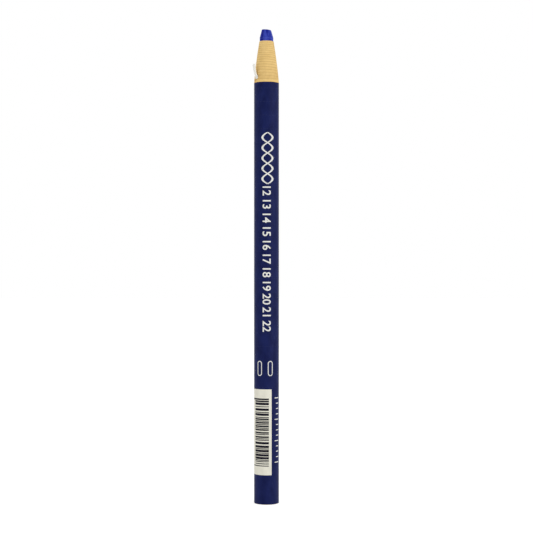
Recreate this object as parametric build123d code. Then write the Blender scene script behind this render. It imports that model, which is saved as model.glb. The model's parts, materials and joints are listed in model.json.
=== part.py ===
from build123d import *
import math
import os

# Peel-off china marker: a wax core wound in perforated kraft paper, with a pull string and a wrapper.
# It stands on its butt: the axis is +Z, the origin is the centre of the butt face and the front faces -Y.

# Driving dimensions, in millimetres and degrees
overall_length = 177.8
barrel_diameter = 9.35
core_diameter = 5.1
bare_core_length = 4.33
tip_flat_diameter = 3.5
tip_taper_length = 2.9
tip_edge_bevel = 0.15
cone_length = 15.69
cone_top_wall = 0.1
cone_base_angle = 5.0
paper_turns = 17
turn_lip = 0.03
wrapper_thickness = 0.08
lap_width = 3.0
lap_azimuth = 180.0
perforation_pitch = 5.08
first_perforation = 43.7
least_top_strip = 1.5
loose_strips = 12
string_diameter = 0.7
string_azimuth = 52.0
string_exit_rise = 0.83
bite_rise = 0.6
bite_radius = 1.2
tear_lean = 1.6
tear_height = 4.7

# Clearances between the pieces
core_clearance = 0.02
wrapper_clearance = 0.01
string_clearance = 0.03
tail_clearance = 0.2

# The free end of the string: how far out and how far up from its root each point of its route stands
tail_route = [(0.0, 0.0), (0.62, 2.5), (1.65, 5.3)]
tail_bend_share = 0.45

# Radii, from the axis outwards
core_radius = core_diameter / 2
bore_radius = core_radius + core_clearance
cone_top_radius = bore_radius + cone_top_wall
barrel_radius = barrel_diameter / 2
wrapper_inner_radius = barrel_radius - wrapper_thickness
roll_radius = wrapper_inner_radius - wrapper_clearance
lap_radius = barrel_radius + wrapper_thickness
paper_thickness = (roll_radius - bore_radius) / paper_turns

# The string lies in a groove in the roll's outer turns, closed by the wrapper
string_radius = string_diameter / 2
groove_radius = string_radius + string_clearance
string_offset = roll_radius - groove_radius
groove_floor = string_offset - groove_radius
cut_reach = lap_radius

# Heights above the butt face
paper_top = overall_length - bare_core_length
wrapper_edge = paper_top - cone_length
string_exit = wrapper_edge + string_exit_rise
bite_base = wrapper_edge + bite_rise
tail_root = string_exit + string_radius + tail_clearance


def frame_at(azimuth):
    """The frame on the axis whose X points out at an azimuth counted from the front towards -X."""
    angle = math.radians(270 - azimuth)
    return Plane(origin=(0, 0, 0), x_dir=(math.cos(angle), math.sin(angle), 0), z_dir=(0, 0, 1))


def turned(points):
    """A solid of revolution about the marker's axis, from an outline of (radius, height) points."""
    return revolve(make_face(Plane.XZ * Polyline(*points, close=True)), axis=Axis.Z)


def ground_height(radius):
    """The height where the ground cone, a parabola that starts at its base angle, has a given radius."""
    drop = barrel_radius - radius
    slope = math.tan(math.radians(cone_base_angle))
    curve = (barrel_radius - cone_top_radius - slope * cone_length) / cone_length**2
    return wrapper_edge + 2 * drop / (slope + math.sqrt(slope**2 + 4 * curve * drop))


def roll_bands():
    """The roll's outside as bands from a lower to an upper (radius, height): the barrel, then each turn."""
    edges = [roll_radius]
    for turn in range(paper_turns - 1, 0, -1):
        edge = bore_radius + turn * paper_thickness
        if edge > cone_top_radius + turn_lip:
            edges.append(edge)
    bands = [((roll_radius, 0), (roll_radius, ground_height(roll_radius)))]
    for outer, inner in zip(edges, edges[1:]):
        bands.append(((outer, ground_height(outer)), (inner + turn_lip, ground_height(inner))))
    bands.append(((edges[-1], ground_height(edges[-1])), (cone_top_radius, paper_top)))
    return bands


def strip_outline(low, high):
    """The section of the paper between two heights, with a lip where each turn was ground through."""
    points = [(bore_radius, low)]
    for (low_radius, band_low), (high_radius, band_high) in roll_bands():
        if band_high <= low or band_low >= high:
            continue
        slope = (high_radius - low_radius) / (band_high - band_low)
        for height in (max(low, band_low), min(high, band_high)):
            point = (low_radius + slope * (height - band_low), height)
            if point != points[-1]:
                points.append(point)
    points.append((bore_radius, high))
    return points


def perforations():
    """The heights of the perforated rings, from the butt up, that part the paper into strips."""
    count = int((paper_top - least_top_strip - first_perforation) / perforation_pitch) + 1
    return [first_perforation + ring * perforation_pitch for ring in range(count)]


def wax_core():
    """The writing core, with its turned tip."""
    taper_base = overall_length - tip_taper_length
    tip_radius = tip_flat_diameter / 2
    core = turned([(0, 0), (core_radius, 0), (core_radius, taper_base), (tip_radius, overall_length),
                   (0, overall_length)])
    return chamfer(core.edges().group_by(Axis.Z)[-1], tip_edge_bevel)


def string_groove():
    """The cut for the string, open to the outside along the whole roll."""
    slot = Box(cut_reach, 2 * groove_radius, paper_top, align=(Align.MIN, Align.CENTER, Align.MIN))
    return frame_at(string_azimuth) * Pos(groove_floor, 0, 0) * slot


def torn_bite():
    """The cut where the string tore out through the outer turns: round below, leaning to a point above."""
    frame = frame_at(string_azimuth)
    floor = Plane(origin=frame.x_dir * groove_floor, x_dir=frame.y_dir, z_dir=frame.x_dir)
    middle = (0, bite_base + bite_radius)
    spine = Line(middle, (-tear_lean, bite_base + tear_height))
    tear = make_hull((Pos(*middle) * Circle(bite_radius)).edges() + [spine])
    return extrude(floor * tear, amount=cut_reach)


def paper_strips():
    """The roll's pieces by name, from the tip down: the cone's strips, the next strips and the rest."""
    heights = perforations()
    heights.reverse()
    cone_count = sum(1 for height in heights if height > string_exit)
    cuts = heights[:cone_count + loose_strips]
    names = [f"cone_strip_{number}" for number in range(1, cone_count + 1)]
    names += [f"peel_strip_{number:02d}" for number in range(1, len(cuts) - cone_count + 1)]
    names.append("lower_roll")
    groove = string_groove()
    bite = torn_bite()
    strips = {}
    for name, high, low in zip(names, [paper_top] + cuts, cuts + [0]):
        strips[name] = turned(strip_outline(low, high)) - groove - bite
    return strips


def barrel_wrapper():
    """The outer sheet, one turn and a glued lap at the back, with its top edge ground to the cone."""
    tube = turned([(wrapper_inner_radius, 0), (barrel_radius, 0), (barrel_radius, wrapper_edge),
                   (wrapper_inner_radius, ground_height(wrapper_inner_radius))])
    lap_angle = math.degrees(lap_width / barrel_radius)
    lap_outline = Polyline((barrel_radius, 0), (lap_radius, 0), (lap_radius, ground_height(lap_radius)),
                           (barrel_radius, wrapper_edge), close=True)
    lap = revolve(make_face(Plane.XZ * lap_outline), axis=Axis.Z, revolution_arc=lap_angle)
    return tube + frame_at(lap_azimuth) * Rot(0, 0, -lap_angle / 2) * lap - torn_bite()


def pull_string():
    """The string in its groove, from the butt to where it leaves the paper."""
    string = Cylinder(string_radius, string_exit, align=(Align.CENTER, Align.CENTER, Align.MIN))
    return frame_at(string_azimuth) * Pos(string_offset, 0, 0) * string


def string_tail():
    """The free end of the string: a round root to swing on and a tube along its route."""
    points = [(string_offset + out, 0, tail_root + up) for out, up in tail_route]
    radii = []
    for before, corner, after in zip(points, points[1:], points[2:]):
        first_run = Vector(*corner) - Vector(*before)
        second_run = Vector(*after) - Vector(*corner)
        half_turn = math.radians(first_run.get_angle(second_run)) / 2
        radii.append(tail_bend_share * min(first_run.length, second_run.length) / math.tan(half_turn))
    print("string tail's bend radii, mm:", [round(radius, 2) for radius in radii])
    route = FilletPolyline(*points, radius=radii)
    start = Plane(origin=points[0], z_dir=Vector(*points[1]) - Vector(*points[0]))
    tube = sweep(start * Circle(string_radius), path=route)
    root = start * Sphere(string_radius)
    return frame_at(string_azimuth) * (tube + root)


pieces = {"wax_core": wax_core()}
pieces.update(paper_strips())
pieces["barrel_wrapper"] = barrel_wrapper()
pieces["pull_string"] = pull_string()
pieces["string_tail"] = string_tail()

os.makedirs("parts", exist_ok=True)
for name, piece in pieces.items():
    export_step(piece, f"parts/{name}.step")
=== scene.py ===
"""A peel-off china marker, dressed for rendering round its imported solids.

The marker stands on its butt with its printed front towards -Y. The classes work in millimetres in the
frame of the solids, and a mesh is scaled to metres when it becomes an object. An azimuth is an angle
about the axis, counted from the front towards +X.
"""
import json
import logging
import math
import random
from dataclasses import dataclass
from enum import Enum, IntEnum
from typing import Callable, Sequence

import bmesh
import bpy
from mathutils import Color, Matrix, Vector, noise


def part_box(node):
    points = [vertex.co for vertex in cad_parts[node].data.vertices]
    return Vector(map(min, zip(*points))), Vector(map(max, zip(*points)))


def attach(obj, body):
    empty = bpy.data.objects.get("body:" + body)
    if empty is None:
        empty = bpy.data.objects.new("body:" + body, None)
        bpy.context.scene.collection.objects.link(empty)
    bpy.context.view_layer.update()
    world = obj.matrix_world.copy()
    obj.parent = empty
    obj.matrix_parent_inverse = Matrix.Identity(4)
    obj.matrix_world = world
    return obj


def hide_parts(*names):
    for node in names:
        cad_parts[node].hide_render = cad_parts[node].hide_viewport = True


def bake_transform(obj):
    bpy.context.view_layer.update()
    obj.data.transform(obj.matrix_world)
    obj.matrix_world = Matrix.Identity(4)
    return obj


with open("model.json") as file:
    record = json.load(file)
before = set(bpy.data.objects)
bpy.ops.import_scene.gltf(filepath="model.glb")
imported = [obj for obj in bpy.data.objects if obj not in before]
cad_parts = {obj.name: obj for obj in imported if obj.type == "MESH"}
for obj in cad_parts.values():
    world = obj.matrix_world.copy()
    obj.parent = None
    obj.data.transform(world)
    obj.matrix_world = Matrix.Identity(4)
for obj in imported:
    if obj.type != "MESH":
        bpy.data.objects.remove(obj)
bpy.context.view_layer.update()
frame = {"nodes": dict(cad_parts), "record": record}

Rgba = tuple[float, float, float, float]
Triple = tuple[float, float, float]
Span = tuple[float, float]
Outline = Sequence[Span]
Strand = tuple[list[Vector], list[float]]
Mesh = bmesh.types.BMesh
Vert = bmesh.types.BMVert
Material = bpy.types.Material
NodeTree = bpy.types.NodeTree
Node = bpy.types.Node
Socket = bpy.types.NodeSocket

LOG = logging.getLogger("china_marker")
MM = 0.001
# Carried on the paper's points: painted shade with dirt at the turns' edges and at the tear's foot, and
# soil
PAPER_SHADE_AND_SOIL = "turn_edge"
# Carried on the wax's points: a painted highlight in a line just below the shoulder
SHOULDER_HIGHLIGHT = "crease"
UNIT: Span = (0.0, 1.0)
QUARTER_TURN = math.pi / 2
SHARP_ANGLE = math.radians(30)
MERGE_DISTANCE = 1e-5
CUT_DISTANCE = 1e-6
ROUNDING = 0.001

# The sockets that a Mix node uses for colours
MIX_FIRST = 6
MIX_SECOND = 7
MIX_RESULT = 2

# The shared patterns: the mottle's scale against the fibres', and the scale of the scuffed patches
MOTTLE_COARSENESS = 0.14
PATCH_SCALE = 260.0

# How the solids fit together, in millimetres
CORE_CLEARANCE = 0.02
WRAPPER_CLEARANCE = 0.01
TEAR_BELOW_EXIT = 0.23

# The wrapper's rings of perforations, and how many strips lie between the top one and the first number
RING_COUNT = 23
STRIPS_ABOVE_NUMBERS = 7.5


class Body(Enum):
    """The bodies of the marker that move on their own."""

    BARREL = "barrel"
    LOWER_STRIP = "lower_cone_strip"
    MIDDLE_STRIP = "middle_cone_strip"
    UPPER_STRIP = "upper_cone_strip"
    TAIL = "string_tail"


class Slot(Enum):
    """The material slots of the record."""

    WAX = "wax"
    KRAFT = "kraft_paper"
    PRINT = "printed_paper"
    STRING = "cotton_string"


class SheetFace(IntEnum):
    """What a face of the wrapper shows, as its number in the sheet's list of materials."""

    PRINTED = 0
    RAW = 1
    GROUND = 2


class SlitFace(IntEnum):
    """What a face of a perforation shows, as its number in the slits' list of materials."""

    LIP = 0
    # The cut is painted dark as the shade inside it
    CUT = 1


def rgb(red: int, green: int, blue: int) -> Rgba:
    """Turn a screen colour of 0 to 255 into the linear colour that a shader takes."""
    screen = Color((red / 255, green / 255, blue / 255))
    return (*screen.from_srgb_to_scene_linear(), 1.0)


def node_box(node: str) -> tuple[Vector, Vector]:
    """Give a solid's lowest and highest corners in millimetres."""
    low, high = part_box(node)
    return Vector(low) / MM, Vector(high) / MM


def on_round(radius: float, azimuth: float, height: float) -> Vector:
    """Give the point at a radius, azimuth and height."""
    return Vector((radius * math.sin(azimuth), -radius * math.cos(azimuth), height))


def polar(point: Vector) -> tuple[float, float]:
    """Give a point's radius and azimuth."""
    return math.hypot(point.x, point.y), math.atan2(point.x, -point.y)


def smoothstep(low: float, high: float, value: float) -> float:
    """Rise smoothly from 0 at low to 1 at high."""
    share = min(1.0, max(0.0, (value - low) / (high - low)))
    return share * share * (3 - 2 * share)


def even(scale: float) -> Triple:
    """Give the same scale along x, y and z."""
    return (scale, scale, scale)


@dataclass(frozen=True)
class Ripple:
    """Smooth unevenness: how far it goes either way, its waves per millimetre, and where it starts."""

    amount: float
    scale: Triple
    start: Triple = (0.0, 0.0, 0.0)

    def at(self, point: Sequence[float]) -> float:
        """Give the unevenness at a point."""
        return self.amount * noise.noise(Vector(point) * Vector(self.scale) + Vector(self.start))


def spun(outline: Outline, cuts: Sequence[int], columns: int, closed: bool) -> Mesh:
    """Spin an outline once about the axis.

    Args:
        outline: The (radius, height) corners.
        cuts: How many points each edge of the outline gains before the spin.
        columns: How many steps the spin takes.
        closed: Whether the last corner joins the first.

    Returns:
        The closed mesh, with its faces pointing outwards.
    """
    mesh = bmesh.new()
    corners = [mesh.verts.new((0, -radius, height)) for radius, height in outline]
    ends = corners[1:] + corners[:1] if closed else corners[1:]
    edges = [mesh.edges.new(pair) for pair in zip(corners, ends)]
    for edge, count in zip(edges, cuts):
        if count:
            bmesh.ops.subdivide_edges(mesh, edges=[edge], cuts=count)
    wire = mesh.verts[:] + mesh.edges[:]
    bmesh.ops.spin(mesh, geom=wire, axis=(0, 0, 1), angle=math.tau, steps=columns, use_merge=True)
    bmesh.ops.remove_doubles(mesh, verts=mesh.verts, dist=MERGE_DISTANCE)
    bmesh.ops.recalc_face_normals(mesh, faces=mesh.faces)
    return mesh


def points_of(parts: Sequence[object]) -> list[Vert]:
    """Pick the points out of a mesh's parts."""
    return [part for part in parts if isinstance(part, Vert)]


def thicken(mesh: Mesh, height: float) -> list[object]:
    """Give a flat mesh a thickness.

    Args:
        mesh: The flat mesh.
        height: The thickness.

    Returns:
        The parts of the mesh's new top.
    """
    top = bmesh.ops.extrude_face_region(mesh, geom=mesh.faces[:])["geom"]
    bmesh.ops.translate(mesh, vec=(0, 0, height), verts=points_of(top))
    return top


def put(name: str, data: bpy.types.ID) -> bpy.types.Object:
    """Put a new object into the scene.

    Args:
        name: The object's name.
        data: Its mesh, curve, lamp or camera.

    Returns:
        The object, at the origin.
    """
    item = bpy.data.objects.new(name, data)
    bpy.context.scene.collection.objects.link(item)
    return item


def add_piece(mesh: Mesh, name: str, slot: Slot, *finishes: Material,
              sharp: float = SHARP_ANGLE) -> bpy.types.Object:
    """Make an object in metres from a mesh in millimetres.

    Args:
        mesh: The finished mesh, which is freed.
        name: The piece's name.
        slot: The record's slot for the piece, which is not used.
        *finishes: The materials, in the order of the faces' material numbers.
        sharp: The angle between two faces past which their edge shows.

    Returns:
        The object, at the origin.
    """
    bmesh.ops.scale(mesh, vec=(MM, MM, MM), verts=mesh.verts)
    data = bpy.data.meshes.new(name)
    mesh.to_mesh(data)
    mesh.free()
    for finish in finishes:
        data.materials.append(finish)
    data.shade_smooth()
    data.set_sharp_from_angle(angle=sharp)
    piece = put(name, data)
    LOG.info("%s: %d faces", name, len(data.polygons))
    return piece


def curve_mesh(curve: bpy.types.Curve) -> bpy.types.Mesh:
    """Make the mesh of a curve or text, which is then removed.

    Args:
        curve: The curve's or the text's data.

    Returns:
        The mesh, in the curve's own units.
    """
    holder = put(curve.name, curve)
    graph = bpy.context.evaluated_depsgraph_get()
    data = bpy.data.meshes.new_from_object(holder.evaluated_get(graph), depsgraph=graph)
    bpy.data.objects.remove(holder)
    bpy.data.curves.remove(curve)
    return data


@dataclass
class Graph:
    """A node tree, with short ways to add and join its nodes."""

    tree: NodeTree

    @classmethod
    def emptied(cls, owner: Material | bpy.types.World) -> "Graph":
        """Clear the nodes of a material or a world.

        Args:
            owner: The material or the world.

        Returns:
            The graph of its empty node tree.
        """
        owner.use_nodes = True
        owner.node_tree.nodes.clear()
        return cls(owner.node_tree)

    def feed(self, socket: Socket, value: object) -> None:
        """Link an input to another socket, or set its value.

        Args:
            socket: The input.
            value: The socket or the value.
        """
        if isinstance(value, Socket):
            self.tree.links.new(value, socket)
        else:
            socket.default_value = value

    def add(self, kind: str, *values: object, **settings: object) -> Node:
        """Add a node.

        Args:
            kind: The node's type, less its ShaderNode prefix.
            *values: A value or a socket for each of its first inputs.
            **settings: The node's own settings, in small letters, and a value or a socket for each named
                input, with a capital and with _ for a space.

        Returns:
            The node.
        """
        node = self.tree.nodes.new("ShaderNode" + kind)
        for name, value in settings.items():
            if name.islower():
                setattr(node, name, value)
        for socket, value in zip(node.inputs, values):
            self.feed(socket, value)
        for name, value in settings.items():
            if not name.islower():
                self.feed(node.inputs[name.replace("_", " ")], value)
        return node

    def math(self, operation: str, first: object, second: object, clamp: bool = True) -> Socket:
        """Work out one sum, kept from 0 to 1 if it is clamped, and give its socket."""
        return self.add("Math", first, second, operation=operation, use_clamp=clamp).outputs[0]

    def stretch(self, vector: Socket, along: float) -> Socket:
        """Multiply a vector's part along the marker, by less than 1 to draw a pattern out."""
        return self.add("VectorMath", vector, (1.0, 1.0, along), operation="MULTIPLY").outputs[0]

    def span(self, value: Socket, taken: Span, given: Span = UNIT) -> Socket:
        """Map a span of values onto another one and give the socket."""
        ends = dict(zip(("From_Min", "From_Max", "To_Min", "To_Max"), taken + given))
        return self.add("MapRange", Value=value, **ends).outputs[0]

    def mix(self, share: Socket, first: object, second: object) -> Socket:
        """Mix two colours.

        Args:
            share: How much of the second one shows, from 0 to 1.
            first: The first colour or its socket.
            second: The second colour or its socket.

        Returns:
            The mixed colour's socket.
        """
        node = self.add("Mix", share, data_type="RGBA")
        self.feed(node.inputs[MIX_FIRST], first)
        self.feed(node.inputs[MIX_SECOND], second)
        return node.outputs[MIX_RESULT]

    def attribute(self, name: str) -> Socket:
        """Read a number that a mesh's points carry."""
        return self.add("Attribute", attribute_name=name).outputs["Fac"]

    def group(self, tree: NodeTree, **inputs: object) -> Node:
        """Place a node group with its own values."""
        return self.add("Group", node_tree=tree, **inputs)


def new_group(name: str, inputs: Sequence[str], outputs: Sequence[str]) -> tuple[Graph, Node, Node]:
    """Start a shader node group.

    Args:
        name: The group's name.
        inputs: The names of its number inputs, which follow its Vector.
        outputs: The names of its number outputs.

    Returns:
        The group's graph, its input node and its output node.
    """
    tree = bpy.data.node_groups.new(name, "ShaderNodeTree")
    tree.interface.new_socket("Vector", in_out="INPUT", socket_type="NodeSocketVector")
    for socket in inputs:
        tree.interface.new_socket(socket, in_out="INPUT", socket_type="NodeSocketFloat")
    for socket in outputs:
        tree.interface.new_socket(socket, in_out="OUTPUT", socket_type="NodeSocketFloat")
    return Graph(tree), tree.nodes.new("NodeGroupInput"), tree.nodes.new("NodeGroupOutput")


@dataclass(frozen=True)
class NoiseLook:
    """A noise texture: how fine and how rough it is, and which span of its values goes from 0 to 1."""

    detail: float
    roughness: float
    span: Span

    def add(self, graph: Graph, vector: Socket, scale: object) -> Socket:
        """Add the texture to a graph and give its value."""
        node = graph.add("TexNoise", Vector=vector, Scale=scale, Detail=self.detail,
                         Roughness=self.roughness)
        return graph.span(node.outputs[0], self.span)


def grain_group() -> NodeTree:
    """Build the grain that paper, wax and cotton share: a soft mottle and fine fibres.

    Returns:
        The node group, which gives both from 0 to 1.
    """
    graph, given, result = new_group("grain", ["Scale"], ["Mottle", "Fibre"])
    vector, scale = given.outputs["Vector"], given.outputs["Scale"]
    coarse = graph.math("MULTIPLY", scale, MOTTLE_COARSENESS, clamp=False)
    mottle = NoiseLook(detail=3.0, roughness=0.5, span=(0.3, 0.7))
    fibre = NoiseLook(detail=5.0, roughness=0.65, span=(0.3, 0.7))
    graph.feed(result.inputs["Mottle"], mottle.add(graph, vector, coarse))
    graph.feed(result.inputs["Fibre"], fibre.add(graph, vector, scale))
    return graph.tree


def scuff_group() -> NodeTree:
    """Build the scuffs that handling leaves: fine marks that show only in patches.

    Returns:
        The node group, which gives a mask from 0 to its Amount.
    """
    graph, given, result = new_group("handling_scuffs", ["Scale", "Amount"], ["Mask"])
    vector, scale = given.outputs["Vector"], given.outputs["Scale"]
    patches = NoiseLook(detail=2.0, roughness=0.5, span=(0.45, 0.7)).add(graph, vector, PATCH_SCALE)
    marks = NoiseLook(detail=4.0, roughness=0.6, span=(0.6, 0.72)).add(graph, vector, scale)
    scuffs = graph.math("MULTIPLY", patches, marks)
    graph.feed(result.inputs["Mask"], graph.math("MULTIPLY", scuffs, given.outputs["Amount"]))
    return graph.tree


@dataclass(frozen=True)
class Effects:
    """The node groups that the finishes share."""

    grain: NodeTree
    scuffs: NodeTree


@dataclass(frozen=True)
class Finish:
    """A finish of one surface: a Principled shader over the shared grain, from its dark to its light."""

    name: str
    effects: Effects
    dark: Rgba
    light: Rgba
    grain_scale: float = 2600.0
    grain_stretch: float = 1.0
    pattern_turn: float = 0.0
    roughness: Span = (0.5, 0.7)
    roughness_from: str = "Fibre"
    gloss: float = 0.1
    sheen: float = 0.0
    relief: float = 0.02

    def material(self) -> Material:
        """Build the finish.

        Returns:
            The material.
        """
        material = bpy.data.materials.new(self.name)
        graph = Graph.emptied(material)
        place = graph.add("TexCoord").outputs["Object"]
        if self.pattern_turn:
            place = graph.add("Mapping", Vector=place, Rotation=(0, 0, self.pattern_turn)).outputs[0]
        drawn = graph.stretch(place, self.grain_stretch)
        grain = graph.group(self.effects.grain, Vector=drawn, Scale=self.grain_scale).outputs
        body = graph.mix(self.lightness(graph, grain["Mottle"]), self.dark, self.light)
        bump = graph.add("Bump", Strength=1.0, Distance=self.relief * MM, Height=grain["Fibre"])
        shader = graph.add(
            "BsdfPrincipled", Base_Color=self.marked(graph, place, body, grain["Fibre"]),
            Roughness=graph.span(grain[self.roughness_from], UNIT, self.roughness),
            Normal=bump.outputs["Normal"], Specular_IOR_Level=self.gloss, Sheen_Weight=self.sheen)
        graph.add("OutputMaterial", Surface=shader.outputs["BSDF"])
        return material

    def lightness(self, graph: Graph, mottle: Socket) -> Socket:
        """Give how light the body is, from 0 to 1."""
        return mottle

    def marked(self, graph: Graph, place: Socket, body: Socket, fibre: Socket) -> Socket:
        """Give the body's colour with the marks on it, which a plain finish has none of."""
        return body


@dataclass(frozen=True)
class ScuffedFinish(Finish):
    """A finish that handling has scuffed in patches."""

    worn: Rgba = rgb(62, 70, 112)
    wear: float = 0.4
    scuff_scale: float = 1900.0
    scuff_stretch: float = 0.35

    def scuffs(self, graph: Graph, place: Socket) -> Socket:
        """Give how far the surface is scuffed, from 0 to its wear.

        Args:
            graph: The material's graph.
            place: The surface's own coordinates.

        Returns:
            The socket of the scuffs' mask.
        """
        drawn = graph.stretch(place, self.scuff_stretch)
        group = graph.group(self.effects.scuffs, Vector=drawn, Scale=self.scuff_scale, Amount=self.wear)
        return group.outputs["Mask"]


@dataclass(frozen=True)
class WaxFinish(ScuffedFinish):
    """Blue marking wax: waxy sheen, knife streaks, pale rubbed patches and a painted highlight below the
    shoulder.
    """

    dark: Rgba = rgb(18, 28, 132)
    light: Rgba = rgb(58, 72, 177)
    streak_span: Span = (0.2, 0.8)
    grain_scale: float = 4600.0
    grain_stretch: float = 0.35
    pattern_turn: float = math.radians(-18)
    gloss: float = 0.09
    # Also the colour of the painted highlight below the shoulder
    worn: Rgba = rgb(98, 110, 202)
    wear: float = 0.6
    scuff_scale: float = 2200.0
    scuff_stretch: float = 0.3

    def lightness(self, graph: Graph, mottle: Socket) -> Socket:
        """Sharpen the mottle into streaks."""
        return graph.span(mottle, self.streak_span)

    def marked(self, graph: Graph, place: Socket, body: Socket, fibre: Socket) -> Socket:
        """Pale the wax in its rubbed patches, and paint a highlight just below the shoulder."""
        # Real scuffs, and a painted highlight just below the shoulder
        pale = graph.math("MAXIMUM", self.scuffs(graph, place), graph.attribute(SHOULDER_HIGHLIGHT))
        return graph.mix(pale, body, self.worn)


@dataclass(frozen=True)
class KraftFinish(Finish):
    """Ground kraft paper: fibres brushed round the cone, and painted shade with dirt at each turn's edge.
    """

    dark: Rgba = rgb(226, 190, 121)
    light: Rgba = rgb(239, 205, 138)
    # The colour of the painted shade, dirt and soil that the paper's points carry
    line: Rgba = rgb(184, 144, 82)
    fibre_share: float = 0.35
    grain_stretch: float = 2.2
    roughness: Span = (0.78, 0.92)
    roughness_from: str = "Mottle"
    gloss: float = 0.2

    def marked(self, graph: Graph, place: Socket, body: Socket, fibre: Socket) -> Socket:
        """Lighten the fibres and paint the painted shade, dirt and soil that the paper's points carry."""
        paper = graph.mix(graph.math("MULTIPLY", fibre, self.fibre_share), body, self.light)
        return graph.mix(graph.attribute(PAPER_SHADE_AND_SOIL), paper, self.line)


@dataclass(frozen=True)
class PrintFinish(ScuffedFinish):
    """A printed and varnished paper surface, with light scuffs from handling."""

    dark: Rgba = rgb(13, 21, 67)
    light: Rgba = rgb(23, 32, 83)
    grain_scale: float = 3600.0
    grain_stretch: float = 0.5
    roughness: Span = (0.42, 0.6)
    gloss: float = 0.08
    relief: float = 0.006

    def marked(self, graph: Graph, place: Socket, body: Socket, fibre: Socket) -> Socket:
        """Wear the ink off where the paper is scuffed."""
        return graph.mix(self.scuffs(graph, place), body, self.worn)


@dataclass(frozen=True)
class CottonFinish(Finish):
    """Bleached cotton yarn, matt and a little uneven."""

    dark: Rgba = rgb(238, 237, 232)
    light: Rgba = rgb(252, 251, 247)
    grain_scale: float = 6000.0
    roughness: Span = (0.85, 1.0)
    gloss: float = 0.15
    sheen: float = 0.25


@dataclass(frozen=True)
class Palette:
    """The materials of the marker."""

    wax: Material
    kraft: Material
    raw_edge: Material
    navy: Material
    slit_lip: Material
    # The slits' cuts, painted dark as shade
    slit_dark: Material
    white_ink: Material
    cream_ink: Material
    black_ink: Material
    cotton: Material

    @classmethod
    def mixed(cls) -> "Palette":
        """Build every material on one set of shared effects.

        Returns:
            The palette.
        """
        effects = Effects(grain_group(), scuff_group())
        raw = KraftFinish("raw_wrapper_edge", effects, dark=rgb(227, 187, 112), light=rgb(241, 205, 134))

        def ink(name: str, dark: Rgba, light: Rgba, worn: Rgba, wear: float) -> Material:
            """Build a printed colour."""
            return PrintFinish(name, effects, dark, light, worn=worn, wear=wear).material()

        return cls(
            wax=WaxFinish("blue_wax", effects).material(),
            kraft=KraftFinish("ground_kraft", effects).material(),
            raw_edge=raw.material(),
            navy=PrintFinish("navy_print", effects).material(),
            slit_lip=ink("slit_lip", rgb(44, 50, 96), rgb(54, 60, 106), rgb(96, 102, 138), 0.6),
            # The slits' cuts are painted dark as the shade inside them
            slit_dark=ink("slit_dark", rgb(14, 17, 44), rgb(18, 22, 52), rgb(30, 34, 66), 0.3),
            white_ink=ink("white_ink", rgb(226, 226, 220), rgb(238, 237, 230), rgb(120, 126, 156), 0.45),
            cream_ink=ink("cream_ink", rgb(227, 224, 210), rgb(237, 234, 220), rgb(200, 197, 188), 0.6),
            black_ink=ink("black_ink", rgb(16, 15, 26), rgb(24, 23, 36), rgb(92, 90, 94), 0.5),
            cotton=CottonFinish("cotton_yarn", effects).material(),
        )


@dataclass(frozen=True)
class TearLobe:
    """One lobe of the tear, flat on the paper: round below and leaning to a point above."""

    side: float
    foot: float
    radius: float
    lean: float
    height: float

    def inside(self, side: float, height: float) -> float:
        """Give how far a point lies inside the lobe.

        Args:
            side: The distance along the surface from the string towards the front.
            height: The height above the tear's base.

        Returns:
            The depth in millimetres, below 0 outside.
        """
        spine = Vector((-self.lean, self.height - self.radius))
        spot = Vector((side - self.side, height - self.foot - self.radius))
        up = spot.dot(spine) / spine.length
        across = abs(spot.x * spine.y - spot.y * spine.x) / spine.length
        sine = self.radius / spine.length
        cosine = math.sqrt(1 - sine * sine)
        if cosine * up <= sine * across:
            return self.radius - spot.length
        return self.radius - cosine * across - sine * up


@dataclass(frozen=True)
class TornBite:
    """The tear that the string left in the cone, with the paper's turns in steps round it."""

    base: float
    floor: float
    azimuth: float
    lobes: tuple[TearLobe, ...] = (
        TearLobe(side=-0.12, foot=0.62, radius=0.85, lean=0.35, height=3.4),
        TearLobe(side=-1.6, foot=0.1, radius=1.3, lean=0.6, height=3.4))
    step_width: float = 0.13
    step_run: float = 0.6
    tatters: Ripple = Ripple(0.14, (2.6, 2.6, 0.0), (0.0, 0.0, 3.0))
    fine_tatters: Ripple = Ripple(0.07, (4.6, 4.6, 0.0), (0.0, 0.0, 8.0))
    # The patch at the tear's foot: painted shade under the string's exit, with some soil
    soil: float = 0.85
    foot_shade_core: float = 0.4
    foot_shade_side: float = -1.0
    foot_shade_rise: float = 0.38
    foot_shade_width: float = 1.8
    foot_shade_height: float = 0.45

    def inside(self, side: float, height: float) -> float:
        """Give how far inside the tear a point lies, by its side and its height above the butt."""
        return max(lobe.inside(side, height - self.base) for lobe in self.lobes)

    def torn(self, outer: float, azimuth: float, height: float, ply: float) -> float:
        """Give the radius that the tear leaves.

        Args:
            outer: The radius of the whole surface there.
            azimuth: The azimuth.
            height: The height above the butt.
            ply: The thickness of one turn of paper.

        Returns:
            The radius of the torn surface, stepped down a turn at a time.
        """
        side = (azimuth - self.azimuth) * outer
        spot = (side, height, 0.0)
        depth = self.inside(side, height) + self.tatters.at(spot) + self.fine_tatters.at(spot)
        if depth <= 0:
            return outer
        steps, rest = divmod(depth / self.step_width, 1.0)
        return max(self.floor, outer - ply * (steps + smoothstep(0.0, self.step_run, rest)))

    def shade(self, outer: float, azimuth: float, height: float) -> float:
        """Give how dark the paper at the tear's foot is painted: shade under the string's exit, and some
        soil.

        Args:
            outer: The radius of the surface there.
            azimuth: The azimuth.
            height: The height above the butt.

        Returns:
            The darkness, from 0 to 1.
        """
        # An oval of painted shade, with some soil, below the string's exit
        side = (azimuth - self.azimuth) * outer - self.foot_shade_side
        rise = height - self.base - self.foot_shade_rise
        reach = math.hypot(side / self.foot_shade_width, rise / self.foot_shade_height)
        return self.soil * smoothstep(1.0, self.foot_shade_core, reach)


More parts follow.
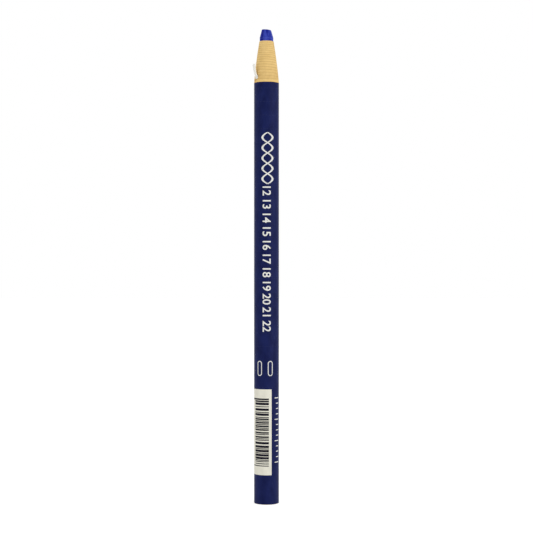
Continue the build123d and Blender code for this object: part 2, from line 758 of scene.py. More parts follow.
@dataclass(frozen=True)
class PaperRoll:
    """The perforated paper roll: its strips, ground to a cone through all its turns at the tip."""

    bore: float
    radius: float
    barrel: float
    edge: float
    top: float
    bite: TornBite
    groove_half_width: float
    turns: int = 17
    top_wall: float = 0.1
    base_angle: float = math.radians(5.0)
    lip: float = 0.04
    lip_curve: float = 1.5
    columns: int = 360
    row_pitch: float = 0.06
    rings_per_turn: int = 3
    tear_reach: float = 1.0
    ripple_radius: float = 4.0
    slow_wander: Ripple = Ripple(0.05, even(0.3))
    quick_wander: Ripple = Ripple(0.03, even(3.0))
    fuzz: Ripple = Ripple(0.012, (5.0, 5.0, 9.0))
    # The line at each turn's edge: painted shade in the recess at the next turn's lip, with some dirt
    edge_fade: Span = (0.55, 0.9)
    edge_mark: float = 0.52
    blurred_mark: float = 0.22
    blur_rise: Span = (7.0, 2.0)
    mark_strength: float = 0.85
    mark_patches: Ripple = Ripple(0.3, even(1.7))
    soil: float = 0.2
    soil_patches: Ripple = Ripple(0.2, even(0.9))
    end_ridge: float = 0.25
    end_ridge_fade: Span = (0.5, 0.2)
    end_mark: float = 0.8
    end_mark_fade: Span = (0.3, 0.5)

    @property
    def ply(self) -> float:
        """Give the thickness of one turn of paper."""
        return (self.radius - self.bore) / self.turns

    def ground(self, height: float) -> float:
        """Give the radius of the ground cone, a parabola that starts at its base angle.

        Args:
            height: The height above the butt.

        Returns:
            The radius, which is the barrel's below the cone.
        """
        rise = height - self.edge
        if rise <= 0:
            return self.barrel
        slope = math.tan(self.base_angle)
        length = self.top - self.edge
        curve = (self.barrel - self.bore - self.top_wall - slope * length) / length**2
        return self.barrel - slope * rise - curve * rise * rise

    def turn_share(self, radius: float, azimuth: float) -> float:
        """Give how far through its turn of the spiral a point of the roll lies, from 0 inside to 1."""
        return ((radius - self.bore) / self.ply - azimuth / math.tau) % 1.0

    def under_wrapper(self, azimuth: float, height: float) -> float:
        """Give the radius of the roll below its cone, with the string's groove and the foot of the tear.

        Args:
            azimuth: The azimuth.
            height: The height above the butt.

        Returns:
            The radius.
        """
        side = (azimuth - self.bite.azimuth) * self.radius
        if abs(side) < self.groove_half_width and height < self.bite.base:
            return self.bite.floor
        if height > self.bite.base - self.tear_reach:
            return self.bite.torn(self.radius, azimuth, height, self.ply)
        return self.radius

    def surface(self, azimuth: float, height: float) -> tuple[float, float]:
        """Give the radius of the roll's outside and how dark its paper is painted there.

        Args:
            azimuth: The azimuth.
            height: The height above the butt.

        Returns:
            The radius, and its painted shade, dirt and soil from 0 to 1.
        """
        outer = self.ground(height)
        shade = self.bite.shade(min(outer, self.radius), azimuth, height)
        if outer >= self.radius:
            return self.under_wrapper(azimuth, height), shade
        spot = on_round(self.ripple_radius, azimuth, height)
        wander = self.slow_wander.at(spot) + self.quick_wander.at(spot)
        share = self.turn_share(outer + wander * self.ply, azimuth)
        lifted = outer + self.lip * (1 - share) ** self.lip_curve + self.fuzz.at(spot)
        # A line of painted shade with some dirt along the turn's edge, fainter low on the cone, where soil
        # takes over
        blurred = smoothstep(*self.blur_rise, height - self.edge)
        mark = self.edge_mark + blurred * (self.blurred_mark - self.edge_mark)
        mark *= smoothstep(*self.edge_fade, share) * (self.mark_strength + self.mark_patches.at(spot))
        soiled = blurred * (self.soil + self.soil_patches.at(spot))
        return self.bite.torn(lifted, azimuth, height, self.ply), max(mark + soiled, shade)

    def strip(self, low: float, high: float, row_pitch: float) -> Mesh:
        """Build the paper between two heights, from a plain tube that is then ground and torn.

        Args:
            low: The height of its lower end.
            high: The height of its upper end.
            row_pitch: How far apart the rows of its outside are.

        Returns:
            The closed mesh, with the painted shade, dirt and soil of its paper on its points.
        """
        rings = self.turns * self.rings_per_turn - 1
        rows = int((high - low) / row_pitch)
        outline = [(self.bore, low), (self.radius, low), (self.radius, high), (self.bore, high)]
        mesh = spun(outline, [rings, rows, rings, 0], self.columns, closed=True)
        marks = mesh.verts.layers.float.new(PAPER_SHADE_AND_SOIL)
        for vert in mesh.verts:
            radius, azimuth = polar(vert.co)
            height = vert.co.z
            outer, mark = self.surface(azimuth, height)
            share = (radius - self.bore) / (self.radius - self.bore)
            radius = self.bore + share * (outer - self.bore)
            if ROUNDING < share < 1 - ROUNDING:
                off_middle = abs(self.turn_share(radius, azimuth) - 0.5)
                ridge = self.end_ridge * self.ply * smoothstep(*self.end_ridge_fade, off_middle)
                height += ridge if height < 0.5 * (low + high) else -ridge
                mark = self.end_mark * smoothstep(*self.end_mark_fade, off_middle)
            vert.co = on_round(radius, azimuth, height)
            vert[marks] = mark
        return mesh

    def build(self, palette: Palette) -> None:
        """Build the strips that show and dress the rest of the roll.

        Args:
            palette: The marker's materials.
        """
        shown = {"cone_strip_1": Body.UPPER_STRIP, "cone_strip_2": Body.MIDDLE_STRIP,
                 "cone_strip_3": Body.LOWER_STRIP, "peel_strip_01": Body.BARREL, "lower_roll": Body.BARREL}
        for node, body in shown.items():
            low, high = node_box(node)
            pitch = self.row_pitch if high.z > self.edge else high.z
            piece = add_piece(self.strip(low.z, high.z, pitch), node + "_paper", Slot.KRAFT, palette.kraft)
            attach(piece, body.value)
            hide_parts(node)
        for node, solid in frame["nodes"].items():
            if node.startswith("peel_strip") and node not in shown:
                solid.data.materials.clear()
                solid.data.materials.append(palette.kraft)


@dataclass(frozen=True)
class WritingCore:
    """The wax core, with its cut and worn writing tip."""

    radius: float
    length: float
    tip_radius: float = 1.75
    taper: float = 2.9
    tip_bevel: float = 0.05
    tilt: float = -0.09
    columns: int = 168
    bare: float = 4.6
    bare_rows: int = 20
    taper_rows: int = 44
    bevel_rows: int = 3
    tip_rings: int = 12
    shoulder_reach: float = 1.0
    shoulder_softness: float = 0.5
    wear_run: float = 0.5
    dents: Ripple = Ripple(0.03, (0.8, 0.8, 0.9))
    scratches: Ripple = Ripple(0.0048, (1.2, 1.2, 14.0))
    # The pale line just below the shoulder is a painted highlight, where the shoulder catches the light
    highlight_rise: float = 0.45
    highlight_wander: Ripple = Ripple(0.15, even(0.7))
    highlight_reach: float = 0.22
    highlight_strength: float = 0.35
    highlight_patches: Ripple = Ripple(0.3, even(1.9))

    def worn(self, point: Vector) -> Vector:
        """Wear one point of the turned tip.

        Args:
            point: A point of the turned core.

        Returns:
            Its place after wear.
        """
        radius, azimuth = polar(point)
        shown = smoothstep(0.0, self.wear_run, point.z - self.length + self.bare)
        wear = shown * (self.dents.at(point) + self.scratches.at(point))
        lift = self.tilt * point.x * smoothstep(self.length - self.taper, self.length, point.z)
        return on_round(radius * (1 + wear / self.radius), azimuth, point.z + lift)

    def highlighted(self, point: Vector) -> float:
        """Give how pale a point is painted on the highlight that runs round just below the shoulder.

        Args:
            point: A point of the worn core.

        Returns:
            The paleness, from 0 to 1.
        """
        middle = self.length - self.taper - self.highlight_rise + self.highlight_wander.at(point)
        near = smoothstep(self.highlight_reach, 0.0, abs(point.z - middle))
        return near * (self.highlight_strength + self.highlight_patches.at(point))

    def build(self, palette: Palette) -> None:
        """Build the core.

        Args:
            palette: The marker's materials.
        """
        base = self.length - self.taper
        outline = [(0, 0), (self.radius, 0), (self.radius, self.length - self.bare), (self.radius, base),
                   (self.tip_radius, self.length - self.tip_bevel),
                   (self.tip_radius - self.tip_bevel, self.length), (0, self.length)]
        cuts = [0, 0, self.bare_rows, self.taper_rows, self.bevel_rows, self.tip_rings]
        mesh = spun(outline, cuts, self.columns, closed=False)
        highlights = mesh.verts.layers.float.new(SHOULDER_HIGHLIGHT)
        for vert in mesh.verts:
            vert.co = self.worn(vert.co)
            # A painted highlight in a line just below the shoulder
            vert[highlights] = self.highlighted(vert.co)
        shoulder = [vert for vert in mesh.verts if abs(vert.co.z - base) < self.shoulder_reach]
        bmesh.ops.smooth_vert(mesh, verts=shoulder, factor=self.shoulder_softness, use_axis_x=True,
                              use_axis_y=True, use_axis_z=True)
        piece = add_piece(mesh, "writing_core", Slot.WAX, palette.wax)
        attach(piece, Body.BARREL.value)
        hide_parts("wax_core")


@dataclass(frozen=True)
class Wrapper:
    """The printed sheet round the roll: one turn with a glued lap at the back, perforated in rings."""

    inner: float
    radius: float
    edge: float
    rim: float
    bite: TornBite
    ring_heights: tuple[float, ...]
    columns: int = 240
    top_rows: int = 5
    chamfer: float = 0.05
    lap_rise: float = 0.08
    lap_azimuth: float = math.pi
    lap_half_angle: float = math.radians(18.75)
    lap_run: float = math.radians(9)
    bright_rim: float = 0.65
    butt_dents: Ripple = Ripple(0.04, (9.0, 0.0, 0.0), (0.0, 0.0, 4.0))
    butt_nicks: Ripple = Ripple(0.1, (5.0, 0.0, 0.0), (0.0, 2.0, 4.0))
    slits: int = 24
    slit_sides: int = 8
    slit_length: float = 0.72
    slit_width: float = 0.13
    slit_height: float = 0.04
    slit_lip: float = 0.035
    slit_depth: float = 0.008
    slit_sink: float = 0.024
    slit_scatter: float = 0.04
    slit_seed: int = 7

    def lap_turn(self, azimuth: float) -> float:
        """Give the angle from the middle of the lap, from half a turn back to half a turn on."""
        return (azimuth - self.lap_azimuth + math.pi) % math.tau - math.pi

    def outside(self, azimuth: float) -> float:
        """Give the sheet's outer radius: the lap climbs on one side and ends in a step on the other.

        Args:
            azimuth: The azimuth.

        Returns:
            The radius.
        """
        turn = self.lap_turn(azimuth)
        if turn > self.lap_half_angle:
            return self.radius
        climb = smoothstep(-self.lap_half_angle - self.lap_run, -self.lap_half_angle, turn)
        return self.radius + self.lap_rise * climb

    def shows(self, middle: Vector) -> SheetFace:
        """Tell what a face shows: print, or raw paper at the ground top, the butt edge and the lap's edge.

        Args:
            middle: The face's middle.

        Returns:
            The face's material number.
        """
        if middle.z > self.edge + self.bright_rim:
            return SheetFace.GROUND
        at_step = abs(self.lap_turn(polar(middle)[1]) - self.lap_half_angle) < math.pi / self.columns
        if at_step or middle.z > self.edge or middle.z < self.chamfer:
            return SheetFace.RAW
        return SheetFace.PRINTED

    def sheet(self) -> Mesh:
        """Build the sheet, ground and torn at its top and worn at its butt.

        Returns:
            The closed mesh, with the shade of the tear's foot on its points.
        """
        outline = [(self.inner, 0), (self.radius - self.chamfer, 0), (self.radius, self.chamfer),
                   (self.radius, self.edge), (self.inner, self.rim)]
        mesh = spun(outline, [0, 0, 0, self.top_rows, 0], self.columns, closed=True)
        marks = mesh.verts.layers.float.new(PAPER_SHADE_AND_SOIL)
        for vert in mesh.verts:
            radius, azimuth = polar(vert.co)
            height = vert.co.z
            if radius > self.inner + ROUNDING:
                radius += self.outside(azimuth) - self.radius
                if height < self.chamfer:
                    spot = (azimuth, 0.0, 0.0)
                    radius -= max(0.0, self.butt_dents.at(spot))
                    height += max(0.0, self.butt_nicks.at(spot))
            elif height > self.edge:
                height -= max(0.0, self.bite.inside((azimuth - self.bite.azimuth) * self.radius, height))
            vert.co = on_round(radius, azimuth, height)
            # The painted shade and soil of the tear's foot
            vert[marks] = self.bite.shade(radius, azimuth, height)
        for face in mesh.faces:
            face.material_index = self.shows(face.calc_center_median())
        return mesh

    def slit(self) -> Mesh:
        """Build one perforation flat: a low lens with raised lips round a cut painted dark as shade.

        Returns:
            The closed mesh, with its length along x.
        """
        mesh = bmesh.new()
        bmesh.ops.create_circle(mesh, cap_ends=True, segments=self.slit_sides, radius=0.5)
        bmesh.ops.scale(mesh, vec=(self.slit_length, self.slit_width, 1), verts=mesh.verts)
        top = thicken(mesh, self.slit_height)
        lens = [part for part in top if isinstance(part, bmesh.types.BMFace)]
        bmesh.ops.inset_individual(mesh, faces=lens, thickness=self.slit_lip, depth=-self.slit_depth)
        # The cut is painted dark as shade
        lens[0].material_index = SlitFace.CUT
        bmesh.ops.recalc_face_normals(mesh, faces=mesh.faces)
        return mesh

    def perforations(self) -> Mesh:
        """Set the slits round the sheet, ring by ring.

        Returns:
            The mesh of all the slits.
        """
        mesh = self.slit()
        pattern = mesh.verts[:] + mesh.edges[:] + mesh.faces[:]
        draw = random.Random(self.slit_seed)
        for ring in self.ring_heights:
            start = draw.random()
            for number in range(self.slits):
                azimuth = math.tau * (number + start) / self.slits
                copy = bmesh.ops.duplicate(mesh, geom=pattern)["geom"]
                height = ring + draw.uniform(-self.slit_scatter, self.slit_scatter)
                place = on_round(self.outside(azimuth) - self.slit_sink, azimuth, height)
                upright = Matrix.Rotation(azimuth, 4, "Z") @ Matrix.Rotation(QUARTER_TURN, 4, "X")
                moved = Matrix.Translation(place) @ upright
                bmesh.ops.transform(mesh, matrix=moved, verts=points_of(copy))
        bmesh.ops.delete(mesh, geom=points_of(pattern), context="VERTS")
        return mesh

    def build(self, palette: Palette) -> None:
        """Build the sheet and its perforations.

        Args:
            palette: The marker's materials.
        """
        sheet = add_piece(self.sheet(), "wrapper_sheet", Slot.PRINT, palette.navy, palette.raw_edge,
                          palette.kraft)
        # The slits' cuts are painted dark as shade
        slits = add_piece(self.perforations(), "wrapper_perforations", Slot.PRINT, palette.slit_lip,
                          palette.slit_dark)
        for piece in (sheet, slits):
            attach(piece, Body.BARREL.value)
        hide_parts("barrel_wrapper")


@dataclass
class InkLayer:
    """One colour of print: flat shapes, x along the round and y up, then wrapped on the barrel."""

    mesh: Mesh
    barrel: float
    film: float = 0.012
    sink: float = 0.03
    cut_pitch: float = 0.4
    round_share: float = 0.499
    round_segments: int = 6
    boldness: float = 0.012
    ribbon_rows: int = 120

    def place(self, verts: Sequence[Vert], across: float, up: float) -> None:
        """Move new points to their place on the flat sheet."""
        bmesh.ops.translate(self.mesh, vec=(across, up, 0), verts=verts)

    def bar(self, across: float, up: float, width: float, height: float) -> list[Vert]:
        """Add a rectangle.

        Args:
            across: Its middle, along the round.
            up: Its middle height.
            width: Its width along the round.
            height: Its height.

        Returns:
            Its corners.
        """
        verts = bmesh.ops.create_grid(self.mesh, x_segments=1, y_segments=1, size=0.5)["verts"]
        bmesh.ops.scale(self.mesh, vec=(width, height, 1), verts=verts)
        self.place(verts, across, up)
        return verts

    def capsule(self, across: float, up: float, width: float, height: float, stroke: float) -> None:
        """Add the outline of a bar with round ends.

        Args:
            across: Its middle, along the round.
            up: Its middle height.
            width: Its whole width.
            height: Its whole height.
            stroke: The width of its line.
        """
        corners = self.bar(across, up, width, height)
        rounded = bmesh.ops.bevel(self.mesh, geom=corners, affect="VERTICES", profile=0.5, material=-1,
                                  offset=self.round_share * width, segments=self.round_segments)
        face = rounded["verts"][0].link_faces[0]
        bmesh.ops.inset_individual(self.mesh, faces=[face], thickness=stroke)
        bmesh.ops.delete(self.mesh, geom=[face], context="FACES")

    def number(self, body: str, across: float, up: float, height: float) -> None:
        """Add a number that reads down the barrel, with the tops of its figures to the right.

        Args:
            body: The figures.
            across: Its middle, along the round.
            up: Its middle height.
            height: The height of its figures.
        """
        text = bpy.data.curves.new("strip_number", "FONT")
        text.body = body
        text.align_x = "CENTER"
        text.align_y = "CENTER"
        text.offset = self.boldness
        data = curve_mesh(text)
        before = set(self.mesh.verts)
        self.mesh.from_mesh(data)
        bpy.data.meshes.remove(data)
        verts = [vert for vert in self.mesh.verts if vert not in before]
        tall = max(vert.co.y for vert in verts) - min(vert.co.y for vert in verts)
        bmesh.ops.scale(self.mesh, vec=(height / tall, height / tall, 1), verts=verts)
        bmesh.ops.rotate(self.mesh, matrix=Matrix.Rotation(-QUARTER_TURN, 3, "Z"), verts=verts)
        self.place(verts, across, up)

    def ribbon(self, across: float, low: float, high: float, width: float,
               sway: Callable[[float], float]) -> None:
        """Add a ribbon up the barrel that sways from side to side.

        Args:
            across: Its middle line, along the round.
            low: The height of its lower end.
            high: The height of its upper end.
            width: Its width along the round.
            sway: Gives how far it stands to the side at a share of its length.
        """
        grid = bmesh.ops.create_grid(self.mesh, x_segments=1, y_segments=self.ribbon_rows, size=0.5)
        for vert in grid["verts"]:
            share = vert.co.y + 0.5
            vert.co = Vector((across + width * vert.co.x + sway(share), low + share * (high - low), 0))

    def wrap(self) -> Mesh:
        """Cut the flat shapes into narrow strips, give them the film's thickness and wrap them round.

        Returns:
            The layer's mesh, on the barrel.
        """
        mesh = self.mesh
        bmesh.ops.remove_doubles(mesh, verts=mesh.verts, dist=MERGE_DISTANCE)
        reach = [vert.co.x / self.cut_pitch for vert in mesh.verts]
        for step in range(math.ceil(min(reach)), math.floor(max(reach)) + 1):
            parts = mesh.verts[:] + mesh.edges[:] + mesh.faces[:]
            bmesh.ops.bisect_plane(mesh, geom=parts, dist=CUT_DISTANCE,
                                   plane_co=(step * self.cut_pitch, 0, 0), plane_no=(1, 0, 0))
        thicken(mesh, self.film + self.sink)
        for vert in mesh.verts:
            vert.co = on_round(self.barrel - self.sink + vert.co.z, vert.co.x / self.barrel, vert.co.y)
        bmesh.ops.recalc_face_normals(mesh, faces=mesh.faces)
        return mesh


@dataclass(frozen=True)
class Print:
    """The barrel's print: a twisted band, the strips' numbers, swatches, ticks and a panel with bars."""

    barrel: float
    strip_pitch: float
    first_number_height: float
    first_number: int = 12
    numbers: int = 11
    number_height: float = 3.1
    number_across: float = -0.1
    band_low: float = 119.6
    band_high: float = 138.9
    band_across: float = 0.4
    band_sway: float = 1.95
    band_waves: float = 2.5
    band_stroke: float = 0.8
    over_lift: float = 0.004
    swatch_acrosses: tuple[float, ...] = (1.45, -2.7)
    swatch_up: float = 50.8
    swatch_width: float = 1.9
    swatch_height: float = 5.6
    swatch_stroke: float = 0.3
    ticks: int = 13
    tick_low: float = 15.7
    tick_pitch: float = 2.0
    tick_stroke: float = 0.32
    tick_across: float = 4.85
    tick_width: float = 1.6
    long_tick_every: int = 4
    long_tick_across: float = 4.5
    long_tick_width: float = 2.3
    panel_low: float = 11.0
    panel_high: float = 43.0
    panel_left: float = math.radians(-118)
    panel_right: float = math.radians(24)
    bars_low: float = 14.3
    bars_high: float = 39.6
    bars_left: float = math.radians(-62)
    bars_right: float = math.radians(11)
    bars_lift: float = 0.008
    bars_seed: int = 31
    module: float = 0.266
    bar_modules: tuple[int, ...] = (1, 1, 2, 2, 3, 3)
    gap_modules: tuple[int, ...] = (1, 1, 2, 2)
    guard_modules: int = 3
    guard_reach: float = 1.3
    ink_gain: float = 0.07

    def layer(self, lift: float = 0.0) -> InkLayer:
        """Start a layer of print, lifted where it lies on another one."""
        return InkLayer(bmesh.new(), self.barrel + lift)

    def strand(self, turn: float, lift: float) -> Mesh:
        """Print one strand of the band.

        Args:
            turn: The angle that its sway starts at.
            lift: How far it is lifted over the other strand.

        Returns:
            The strand's mesh.
        """
        ink = self.layer(lift)
        ink.ribbon(self.band_across, self.band_low, self.band_high, self.band_stroke,
                   lambda share: self.band_sway * math.sin(math.tau * self.band_waves * share + turn))
        return ink.wrap()

    def white(self) -> Mesh:
        """Print the numbers, the swatches' outlines and the ticks.

        Returns:
            The layer's mesh.
        """
        ink = self.layer()
        for count in range(self.numbers):
            ink.number(str(self.first_number + count), self.number_across,
                       self.first_number_height - count * self.strip_pitch, self.number_height)
        for across in self.swatch_acrosses:
            ink.capsule(across, self.swatch_up, self.swatch_width, self.swatch_height, self.swatch_stroke)
        for tick in range(self.ticks):
            long = tick % self.long_tick_every == 0
            across = self.long_tick_across if long else self.tick_across
            width = self.long_tick_width if long else self.tick_width
            ink.bar(across, self.tick_low + self.tick_pitch * tick, width, self.tick_stroke)
        return ink.wrap()

    def panel(self) -> Mesh:
        """Print the pale panel.

        Returns:
            The layer's mesh.
        """
        ink = self.layer()
        left, right = self.panel_left * self.barrel, self.panel_right * self.barrel
        ink.bar(0.5 * (left + right), 0.5 * (self.panel_low + self.panel_high), right - left,
                self.panel_high - self.panel_low)
        return ink.wrap()

    def bars(self) -> Mesh:
        """Print plain bars of one to three modules on the panel, with longer ones at both ends.

        Returns:
            The layer's mesh.
        """
        ink = self.layer(self.bars_lift)
        draw = random.Random(self.bars_seed)
        left, right = self.bars_left * self.barrel, self.bars_right * self.barrel
        guards = self.guard_modules * self.module
        height = self.bars_low
        while height < self.bars_high:
            width = self.module * draw.choice(self.bar_modules)
            guard = min(height - self.bars_low, self.bars_high - height) < guards
            start = left - (self.guard_reach if guard else 0.0)
            ink.bar(0.5 * (start + right), height + 0.5 * width, right - start, width + self.ink_gain)
            height += width + self.module * draw.choice(self.gap_modules)
        return ink.wrap()

    def build(self, palette: Palette) -> None:
        """Print every layer.

        Args:
            palette: The marker's materials.
        """
        layers = [("white_print", self.white(), palette.white_ink),
                  ("bar_panel", self.panel(), palette.cream_ink),
                  ("panel_bars", self.bars(), palette.black_ink),
                  ("band_under_strand", self.strand(0.0, 0.0), palette.white_ink),
                  ("band_over_strand", self.strand(math.pi, self.over_lift), palette.white_ink)]
        for name, mesh, ink in layers:
            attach(add_piece(mesh, name, Slot.PRINT, ink), Body.BARREL.value)


@dataclass(frozen=True)
class PullString:
    """The cotton pull string: three twisted plies from the butt to the frayed free end."""

    pivot: Vector
    offset: float
    azimuth: float
    exit: float
    tail: tuple[Triple, ...] = (
        (-0.16, 0.05, -0.55), (0.16, 0.1, 0.4), (0.92, 0.08, 1.6), (1.32, 0.15, 3.2), (1.62, 0.2, 5.3))
    foot: float = 0.15
    straight_share: float = 0.9
    groove_stop: float = 1.6
    route_order: int = 3
    route_resolution: int = 64
    step: float = 0.15
    plies: int = 3
    ply_radius: float = 0.19
    ply_offset: float = 0.17
    ply_sides: int = 10
    crisp_angle: float = math.radians(60)
    lay: float = 2.3
    free_rise: Span = (0.3, 1.0)
    opened: float = 0.13
    burst: float = 0.2
    burst_rise: float = 0.3
    burst_reach: float = 1.0
    swell: float = 0.3
    fray: float = 1.1
    fray_spread: float = 0.1
    thinned: float = 0.3
    hairs: int = 46
    hair_seed: int = 19
    hair_low: float = 0.4
    hair_rise: float = 0.2
    end_hair_rise: float = 0.8
    hair_scatter: float = 0.6
    hair_reach: Span = (0.35, 0.75)
    hair_root: float = 0.1
    hair_curl: float = 0.22
    hair_steps: int = 6
    hair_radius: float = 0.0121
    hair_taper: float = 0.0077
    bend_reach: float = 0.8

    def route(self) -> list[Vector]:
        """Read evenly spaced points from the string's smooth route.

        Returns:
            The points, from the butt up.
        """
        curve = bpy.data.curves.new("string_route", "CURVE")
        curve.dimensions = "3D"
        curve.resolution_u = self.route_resolution
        root = self.pivot.z
        heights = (self.foot, self.straight_share * self.exit, root - self.groove_stop)
        stops = [(0.0, 0.0, height) for height in heights]
        stops += [(out, back, root + up) for out, back, up in self.tail]
        spline = curve.splines.new("NURBS")
        spline.points.add(len(stops) - 1)
        rearwards = on_round(1.0, self.azimuth - QUARTER_TURN, 0.0)
        for point, (out, back, up) in zip(spline.points, stops):
            point.co = (*on_round(self.offset + out, self.azimuth, up) + back * rearwards, 1.0)
        spline.order_u = self.route_order
        spline.use_endpoint_u = True
        data = curve_mesh(curve)
        line = [vert.co.copy() for vert in data.vertices]
        bpy.data.meshes.remove(data)
        points = line[:1]
        for end in line[1:]:
            while (end - points[-1]).length > self.step:
                points.append(points[-1] + (end - points[-1]).normalized() * self.step)
        return points

    def ply(self, points: Sequence[Vector], number: int) -> Strand:
        """Twist one ply round the route, opened where it is free and frayed at its end.

        Args:
            points: The route.
            number: The ply's number.

        Returns:
            The ply's points and its radius at each.
        """
        side = on_round(1.0, self.azimuth + QUARTER_TURN, 0.0)
        last = len(points) - 1
        length = self.step * last
        places, radii = [], []
        for count, point in enumerate(points):
            run = count * self.step
            ahead = points[min(count + 1, last)] - points[max(count - 1, 0)]
            out = side.cross(ahead.normalized())
            turn = math.tau * (run / self.lay + number / self.plies)
            loose = smoothstep(length - self.fray, length, run)
            free = smoothstep(*self.free_rise, point.z - self.exit)
            burst = smoothstep(self.burst_reach, 0.0, abs(point.z - self.pivot.z - self.burst_rise))
            reach = self.ply_offset + free * (self.opened + burst * self.burst) + loose * self.fray_spread
            places.append(point + reach * (math.cos(turn) * side + math.sin(turn) * out))
            radii.append(self.ply_radius * (1 + self.swell * free - self.thinned * loose))
        return places, radii

    def hair(self, free: Sequence[Vector], at_end: bool, draw: random.Random) -> Strand:
        """Draw one loose hair.

        Args:
            free: The free part of the route.
            at_end: Whether the hair grows from the very end.
            draw: Where its chances are drawn from.

        Returns:
            The hair's points and its radius at each.
        """
        root = free[-1] if at_end else draw.choice(free)
        rise = self.end_hair_rise if at_end else self.hair_rise
        lean = Vector((draw.gauss(0, 1), draw.gauss(0, 1), draw.gauss(rise, self.hair_scatter)))
        lean.normalize()
        curl = Vector((draw.gauss(0, 1), draw.gauss(0, 1), draw.gauss(0, 1)))
        curl.normalize()
        reach = draw.uniform(*self.hair_reach)
        places, radii = [], []
        for number in range(self.hair_steps + 1):
            share = number / self.hair_steps
            along = lean * (self.hair_root + reach * share)
            places.append(root + along + curl * (self.hair_curl * share * share))
            radii.append(self.hair_radius - self.hair_taper * share)
        return places, radii

    def strand(self, curve: bpy.types.Curve, points: Sequence[Vector], radii: Sequence[float]) -> None:
        """Add one strand to the string's curve.

        Args:
            curve: The curve.
            points: The strand's points.
            radii: Its radius at each.
        """
        spline = curve.splines.new("POLY")
        spline.points.add(len(points) - 1)
        for point, place, radius in zip(spline.points, points, radii):
            point.co = (*place, 1.0)
            point.radius = radius / self.ply_radius

    def build(self, palette: Palette) -> None:
        """Twist the plies, fray their end and bend the free end out from the cone.

        Args:
            palette: The marker's materials.
        """
        points = self.route()
        curve = bpy.data.curves.new("string_plies", "CURVE")
        curve.dimensions = "3D"
        curve.bevel_depth = self.ply_radius
        curve.bevel_resolution = self.ply_sides // 2 - 2
        curve.use_fill_caps = True
        for number in range(self.plies):
            self.strand(curve, *self.ply(points, number))
        draw = random.Random(self.hair_seed)
        free = [point for point in points if point.z > self.pivot.z + self.hair_low]
        for number in range(self.hairs):
            self.strand(curve, *self.hair(free, number % 2 == 0, draw))
        data = curve_mesh(curve)
        mesh = bmesh.new()
        mesh.from_mesh(data)
        bpy.data.meshes.remove(data)
        bmesh.ops.remove_doubles(mesh, verts=mesh.verts, dist=MERGE_DISTANCE)
        bmesh.ops.recalc_face_normals(mesh, faces=mesh.faces)
        string = add_piece(mesh, "twisted_string", Slot.STRING, palette.cotton, sharp=self.crisp_angle)
        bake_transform(string)
        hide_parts("pull_string", "string_tail")


@dataclass(frozen=True)
class Lamp:
    """A soft square lamp, with its power in watts, and whether it shows in gloss."""

    name: str
    place: Triple
    power: float
    gleam: bool
    size: float = 400.0

    def hang(self, target: Vector) -> None:
        """Hang the lamp so that it faces a point.

        Args:
            target: The point.
        """
        data = bpy.data.lights.new(self.name, "AREA")
        data.size = self.size * MM
        data.energy = self.power
        lamp = put(self.name, data)
        lamp.location = Vector(self.place) * MM
        lamp.rotation_euler = (target - Vector(self.place)).to_track_quat("-Z", "Y").to_euler()
        lamp.visible_glossy = self.gleam


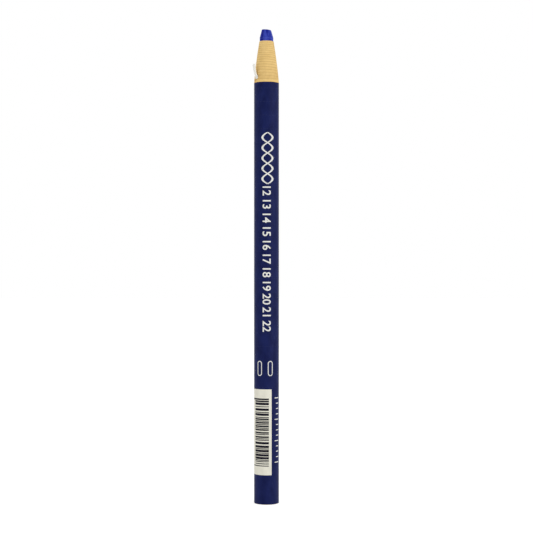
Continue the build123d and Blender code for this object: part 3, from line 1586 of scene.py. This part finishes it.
@dataclass(frozen=True)
class Studio:
    """A pale floor, soft lamps and the camera, in millimetres."""

    eye_distance: float = 471.5
    eye_height: float = 88.84
    view_width: float = 200.65
    sensor: float = 36.0
    near_limit: float = 10.0
    floor_size: float = 6000.0
    floor_color: Rgba = rgb(232, 232, 230)
    floor_glow: float = 0.55
    ambient: Span = (0.62, 1.0)
    lamps: tuple[Lamp, ...] = (
        Lamp("key_lamp", (520.0, -360.0, 210.0), power=1.5, gleam=True),
        Lamp("fill_lamp", (-520.0, -420.0, 180.0), power=1.0, gleam=False),
        Lamp("back_lamp", (0.0, 520.0, 520.0), power=0.8, gleam=True))

    def seen(self, graph: Graph) -> Socket:
        """Tell the rays that show the background, straight, mirrored or through glass.

        Args:
            graph: The graph of the floor's material or of the world.

        Returns:
            The socket that is 1 for these rays and 0 for the rest.
        """
        rays = graph.add("LightPath").outputs
        mirrored = graph.math("MAXIMUM", rays["Is Camera Ray"], rays["Is Glossy Ray"])
        return graph.math("MAXIMUM", mirrored, rays["Is Transmission Ray"])

    def camera(self) -> None:
        """Set the camera square to the front."""
        data = bpy.data.cameras.new("front_camera")
        data.sensor_width = self.sensor
        data.lens = self.sensor * self.eye_distance / self.view_width
        data.clip_start = self.near_limit * MM
        eye = put("front_camera", data)
        eye.location = Vector((0, -self.eye_distance, self.eye_height)) * MM
        eye.rotation_euler = (QUARTER_TURN, 0, 0)
        bpy.context.scene.camera = eye

    def floor(self) -> None:
        """Lay the floor, which shows white and keeps the marker's shadow."""
        mesh = bmesh.new()
        bmesh.ops.create_grid(mesh, x_segments=1, y_segments=1, size=0.5 * self.floor_size * MM)
        data = bpy.data.meshes.new("studio_floor")
        mesh.to_mesh(data)
        mesh.free()
        material = bpy.data.materials.new("pale_floor")
        graph = Graph.emptied(material)
        paint = graph.add("BsdfDiffuse", Color=self.floor_color)
        glow = graph.add("Emission", Strength=graph.math("MULTIPLY", self.seen(graph), self.floor_glow))
        both = graph.add("AddShader", paint.outputs[0], glow.outputs[0])
        graph.add("OutputMaterial", Surface=both.outputs[0])
        data.materials.append(material)
        put("studio_floor", data)

    def surroundings(self) -> None:
        """Set a white world that lights the marker softly."""
        world = bpy.data.worlds.new("white_studio")
        graph = Graph.emptied(world)
        strength = graph.span(self.seen(graph), UNIT, self.ambient)
        back = graph.add("Background", Color=(1, 1, 1, 1), Strength=strength)
        graph.add("OutputWorld", Surface=back.outputs[0])
        bpy.context.scene.world = world

    def build(self) -> None:
        """Build the whole studio."""
        bpy.context.scene.view_settings.view_transform = "Standard"
        self.camera()
        self.floor()
        self.surroundings()
        for lamp in self.lamps:
            lamp.hang(Vector((0, 0, self.eye_height)))


def main() -> None:
    """Build the marker's pieces and the studio."""
    logging.basicConfig(level=logging.INFO, format="%(message)s")
    record = frame["record"]
    swing = next(joint for joint in record["behaviour"]["joints"] if joint["name"] == "string_tail_swing")
    barrel_mount = next(mount for mount in record["mounts"] if mount["name"] == "barrel")
    pivot = Vector(swing["pos_m"]) / MM
    string_offset, string_azimuth = polar(pivot)
    core_high = node_box("wax_core")[1]
    roll_radius = node_box("lower_roll")[1].x
    barrel_radius = barrel_mount["dims"]["r_mm"]
    edge = barrel_mount["dims"]["length_mm"]
    string_exit = node_box("pull_string")[1].z
    strip_low, strip_high = node_box("peel_strip_02")
    strip_pitch = strip_high.z - strip_low.z
    groove_half_width = roll_radius - string_offset
    rings = tuple(strip_high.z - number * strip_pitch for number in range(RING_COUNT))
    first_number = strip_high.z - STRIPS_ABOVE_NUMBERS * strip_pitch

    palette = Palette.mixed()
    bite = TornBite(base=string_exit - TEAR_BELOW_EXIT, floor=string_offset - groove_half_width,
                    azimuth=string_azimuth)
    roll = PaperRoll(bore=core_high.x + CORE_CLEARANCE, radius=roll_radius, barrel=barrel_radius,
                     edge=edge, top=node_box("cone_strip_1")[1].z, bite=bite,
                     groove_half_width=groove_half_width)
    wrapper = Wrapper(inner=roll_radius + WRAPPER_CLEARANCE, radius=barrel_radius, edge=edge,
                      rim=node_box("barrel_wrapper")[1].z, bite=bite, ring_heights=rings)
    Studio().build()
    WritingCore(radius=core_high.x, length=core_high.z).build(palette)
    roll.build(palette)
    wrapper.build(palette)
    Print(barrel=barrel_radius, strip_pitch=strip_pitch, first_number_height=first_number).build(palette)
    PullString(pivot=pivot, offset=string_offset, azimuth=string_azimuth, exit=string_exit).build(palette)


if __name__ == "__main__":
    main()
